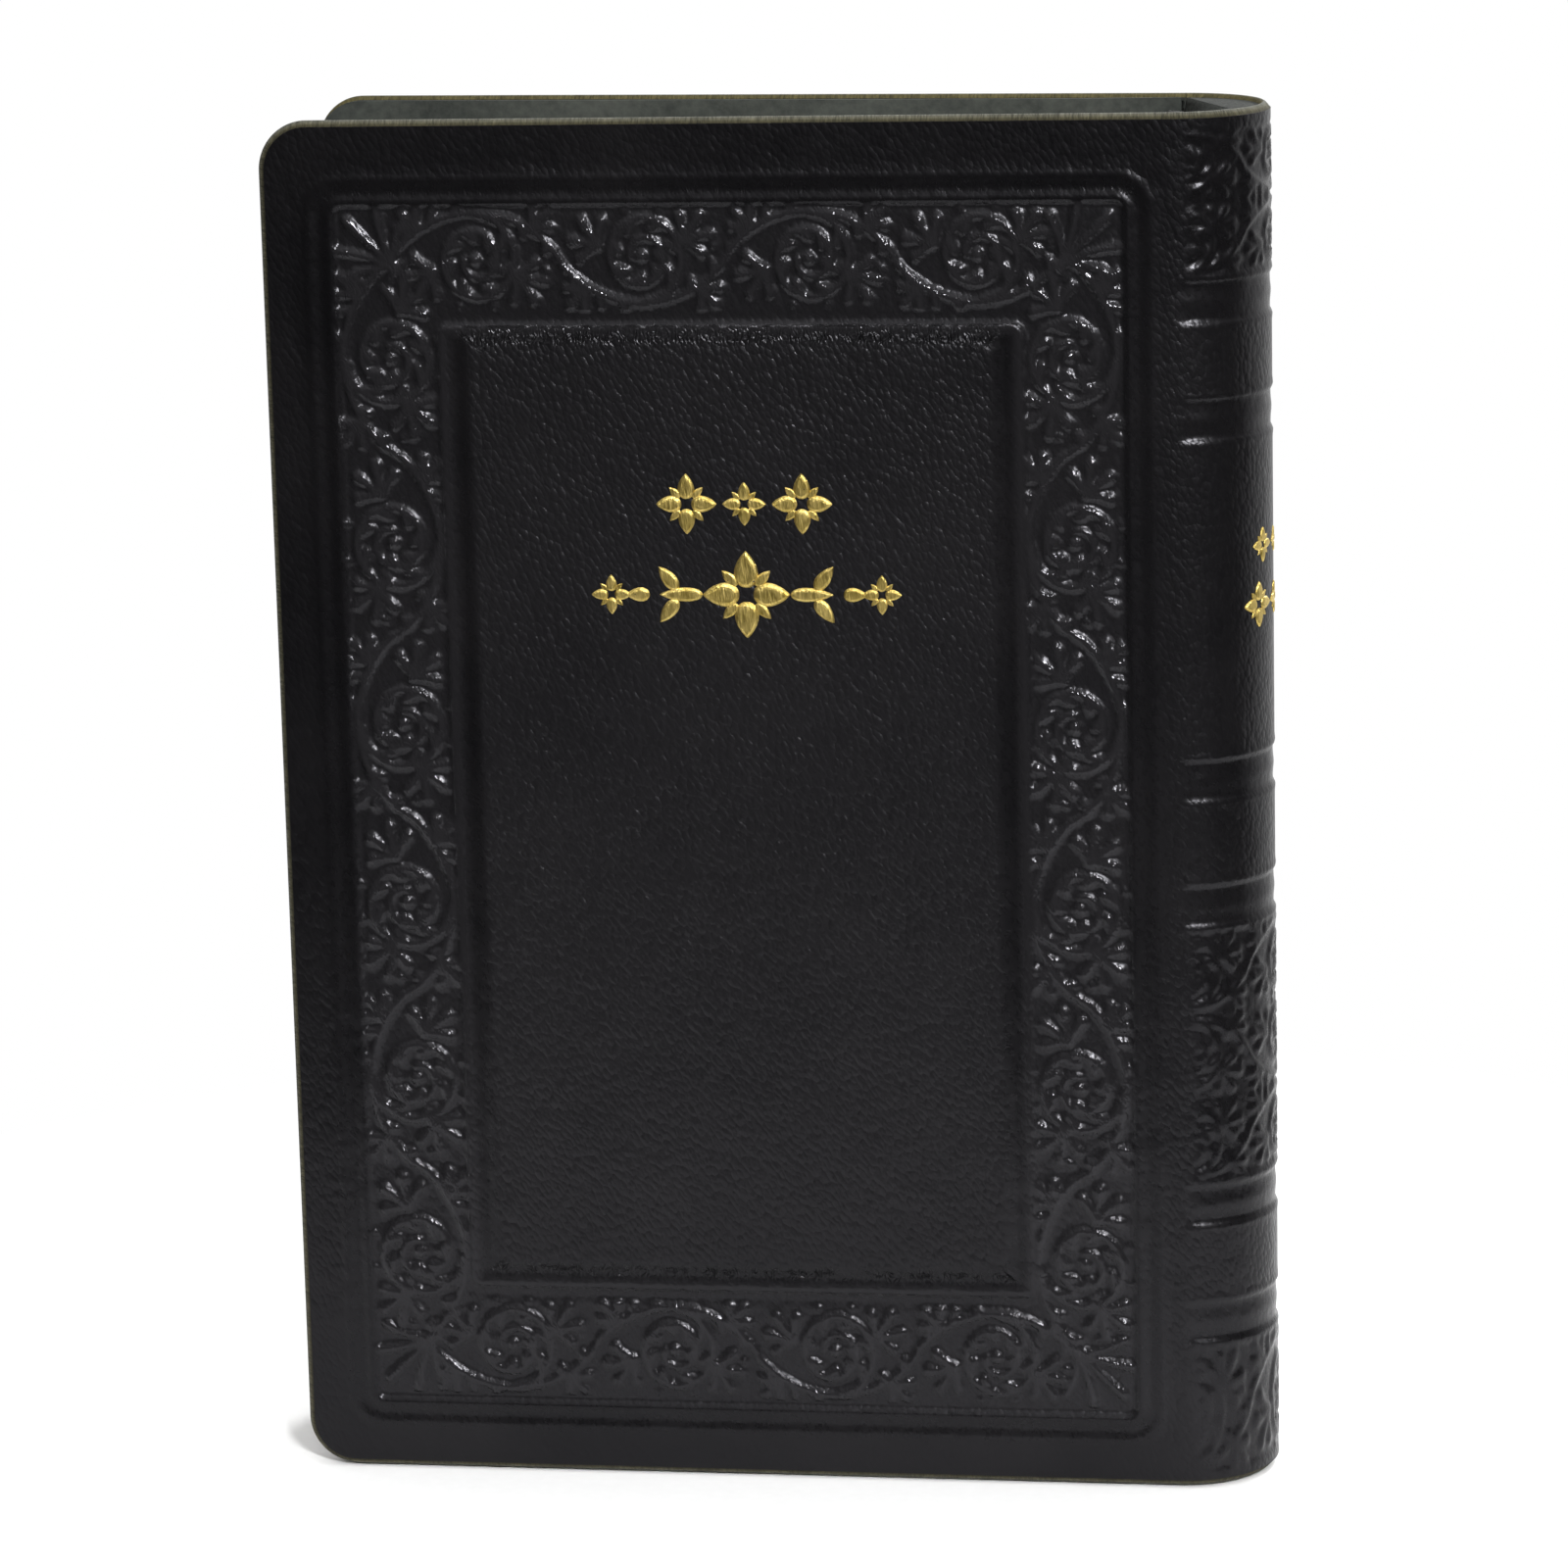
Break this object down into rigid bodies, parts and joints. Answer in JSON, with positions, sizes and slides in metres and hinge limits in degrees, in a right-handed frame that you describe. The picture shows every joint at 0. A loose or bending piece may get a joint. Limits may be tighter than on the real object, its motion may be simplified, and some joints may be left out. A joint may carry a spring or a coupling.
{
  "type": "prayer book",
  "caption": "Small prayer book in soft black embossed leather with rounded banded spine, raw cut edges and hinged covers; sewn page sections fan open between the covers.",
  "frame": {"origin": "centre of the bounding box's bottom face, on the plane the book stands on", "axes": "+Z from tail to head, +X from fore-edge to spine, -Y is the way the front cover faces"},
  "size_m": [0.0992, 0.0246, 0.14],
  "materials": {
    "cover_leather": "embossed, semi-matt, raw cut edges",
    "spine_skin": "embossed, semi-matt",
    "flexible_card": "matt",
    "lining_paper": "matt, dark",
    "page_paper": "thin, uncoated",
    "fold_paper": "sewn and glued",
    "mull_cloth": "open weave, sized",
    "liner_paper": "kraft",
    "bead_cloth": "woven over a cord"
  },
  "bodies": {
    "spine": {"spine_leather": "spine_skin", "spine_liner": "liner_paper", "text_block_back": "fold_paper", "mull": "mull_cloth", "head_band": "bead_cloth", "tail_band": "bead_cloth"},
    "front_cover": {"front_cover_leather": "cover_leather", "front_cover_board": "flexible_card", "front_pastedown": "lining_paper"},
    "back_cover": {"back_cover_leather": "cover_leather", "back_cover_board": "flexible_card", "back_pastedown": "lining_paper"},
    "front_flyleaf": {"front_flyleaf": "lining_paper"},
    "back_flyleaf": {"back_flyleaf": "lining_paper"},
    "section_01": {"section_01": "page_paper"},
    "section_02": {"section_02": "page_paper"},
    "section_03": {"section_03": "page_paper"},
    "section_04": {"section_04": "page_paper"},
    "section_05": {"section_05": "page_paper"},
    "section_06": {"section_06": "page_paper"},
    "section_07": {"section_07": "page_paper"},
    "section_08": {"section_08": "page_paper"},
    "section_09": {"section_09": "page_paper"},
    "section_10": {"section_10": "page_paper"},
    "section_11": {"section_11": "page_paper"},
    "section_12": {"section_12": "page_paper"},
    "section_13": {"section_13": "page_paper"},
    "section_14": {"section_14": "page_paper"},
    "section_15": {"section_15": "page_paper"},
    "section_16": {"section_16": "page_paper"}
  },
  "joints": [
    {"name": "front_cover_hinge", "type": "hinge", "parent": "spine", "child": "front_cover", "pos_m": [0.0404, -0.00949, 0], "axis": [0, 0, 1], "range_deg": [-1.8, 170]},
    {"name": "back_cover_hinge", "type": "hinge", "parent": "spine", "child": "back_cover", "pos_m": [0.0404, 0.00949, 0], "axis": [0, 0, -1], "range_deg": [-1.8, 170]},
    {"name": "front_flyleaf_turn", "type": "hinge", "parent": "spine", "child": "front_flyleaf", "pos_m": [0.0401, -0.00677, 0], "axis": [0, 0, 1], "range_deg": [-1.35, 127.5]},
    {"name": "back_flyleaf_turn", "type": "hinge", "parent": "spine", "child": "back_flyleaf", "pos_m": [0.0401, 0.00677, 0], "axis": [0, 0, -1], "range_deg": [-1.35, 127.5]},
    {"name": "section_01_turn", "type": "hinge", "parent": "spine", "child": "section_01", "pos_m": [0.0401, -0.006, 0], "axis": [0, 0, 1], "range_deg": [-1.2, 113.33]},
    {"name": "section_02_turn", "type": "hinge", "parent": "spine", "child": "section_02", "pos_m": [0.0401, -0.0052, 0], "axis": [0, 0, 1], "range_deg": [-1.05, 99.17]},
    {"name": "section_03_turn", "type": "hinge", "parent": "spine", "child": "section_03", "pos_m": [0.0401, -0.0044, 0], "axis": [0, 0, 1], "range_deg": [-0.9, 85]},
    {"name": "section_04_turn", "type": "hinge", "parent": "spine", "child": "section_04", "pos_m": [0.0401, -0.0036, 0], "axis": [0, 0, 1], "range_deg": [-0.75, 70.83]},
    {"name": "section_05_turn", "type": "hinge", "parent": "spine", "child": "section_05", "pos_m": [0.0401, -0.0028, 0], "axis": [0, 0, 1], "range_deg": [-0.6, 56.67]},
    {"name": "section_06_turn", "type": "hinge", "parent": "spine", "child": "section_06", "pos_m": [0.0401, -0.002, 0], "axis": [0, 0, 1], "range_deg": [-0.45, 42.5]},
    {"name": "section_07_turn", "type": "hinge", "parent": "spine", "child": "section_07", "pos_m": [0.0401, -0.0012, 0], "axis": [0, 0, 1], "range_deg": [-0.3, 28.33]},
    {"name": "section_08_turn", "type": "hinge", "parent": "spine", "child": "section_08", "pos_m": [0.0401, -0.0004, 0], "axis": [0, 0, 1], "range_deg": [-0.15, 14.17]},
    {"name": "section_09_turn", "type": "hinge", "parent": "spine", "child": "section_09", "pos_m": [0.0401, 0.0004, 0], "axis": [0, 0, -1], "range_deg": [-0.15, 14.17]},
    {"name": "section_10_turn", "type": "hinge", "parent": "spine", "child": "section_10", "pos_m": [0.0401, 0.0012, 0], "axis": [0, 0, -1], "range_deg": [-0.3, 28.33]},
    {"name": "section_11_turn", "type": "hinge", "parent": "spine", "child": "section_11", "pos_m": [0.0401, 0.002, 0], "axis": [0, 0, -1], "range_deg": [-0.45, 42.5]},
    {"name": "section_12_turn", "type": "hinge", "parent": "spine", "child": "section_12", "pos_m": [0.0401, 0.0028, 0], "axis": [0, 0, -1], "range_deg": [-0.6, 56.67]},
    {"name": "section_13_turn", "type": "hinge", "parent": "spine", "child": "section_13", "pos_m": [0.0401, 0.0036, 0], "axis": [0, 0, -1], "range_deg": [-0.75, 70.83]},
    {"name": "section_14_turn", "type": "hinge", "parent": "spine", "child": "section_14", "pos_m": [0.0401, 0.0044, 0], "axis": [0, 0, -1], "range_deg": [-0.9, 85]},
    {"name": "section_15_turn", "type": "hinge", "parent": "spine", "child": "section_15", "pos_m": [0.0401, 0.0052, 0], "axis": [0, 0, -1], "range_deg": [-1.05, 99.17]},
    {"name": "section_16_turn", "type": "hinge", "parent": "spine", "child": "section_16", "pos_m": [0.0401, 0.006, 0], "axis": [0, 0, -1], "range_deg": [-1.2, 113.33]}
  ],
  "couplings": [
    {"joint": "front_flyleaf_turn", "follows": "front_cover_hinge", "ratio": 0.75},
    {"joint": "back_flyleaf_turn", "follows": "back_cover_hinge", "ratio": 0.75},
    {"joint": "section_01_turn", "follows": "front_cover_hinge", "ratio": 0.66667},
    {"joint": "section_02_turn", "follows": "front_cover_hinge", "ratio": 0.58333},
    {"joint": "section_03_turn", "follows": "front_cover_hinge", "ratio": 0.5},
    {"joint": "section_04_turn", "follows": "front_cover_hinge", "ratio": 0.41667},
    {"joint": "section_05_turn", "follows": "front_cover_hinge", "ratio": 0.33333},
    {"joint": "section_06_turn", "follows": "front_cover_hinge", "ratio": 0.25},
    {"joint": "section_07_turn", "follows": "front_cover_hinge", "ratio": 0.16667},
    {"joint": "section_08_turn", "follows": "front_cover_hinge", "ratio": 0.083333},
    {"joint": "section_09_turn", "follows": "back_cover_hinge", "ratio": 0.083333},
    {"joint": "section_10_turn", "follows": "back_cover_hinge", "ratio": 0.16667},
    {"joint": "section_11_turn", "follows": "back_cover_hinge", "ratio": 0.25},
    {"joint": "section_12_turn", "follows": "back_cover_hinge", "ratio": 0.33333},
    {"joint": "section_13_turn", "follows": "back_cover_hinge", "ratio": 0.41667},
    {"joint": "section_14_turn", "follows": "back_cover_hinge", "ratio": 0.5},
    {"joint": "section_15_turn", "follows": "back_cover_hinge", "ratio": 0.58333},
    {"joint": "section_16_turn", "follows": "back_cover_hinge", "ratio": 0.66667}
  ]
}
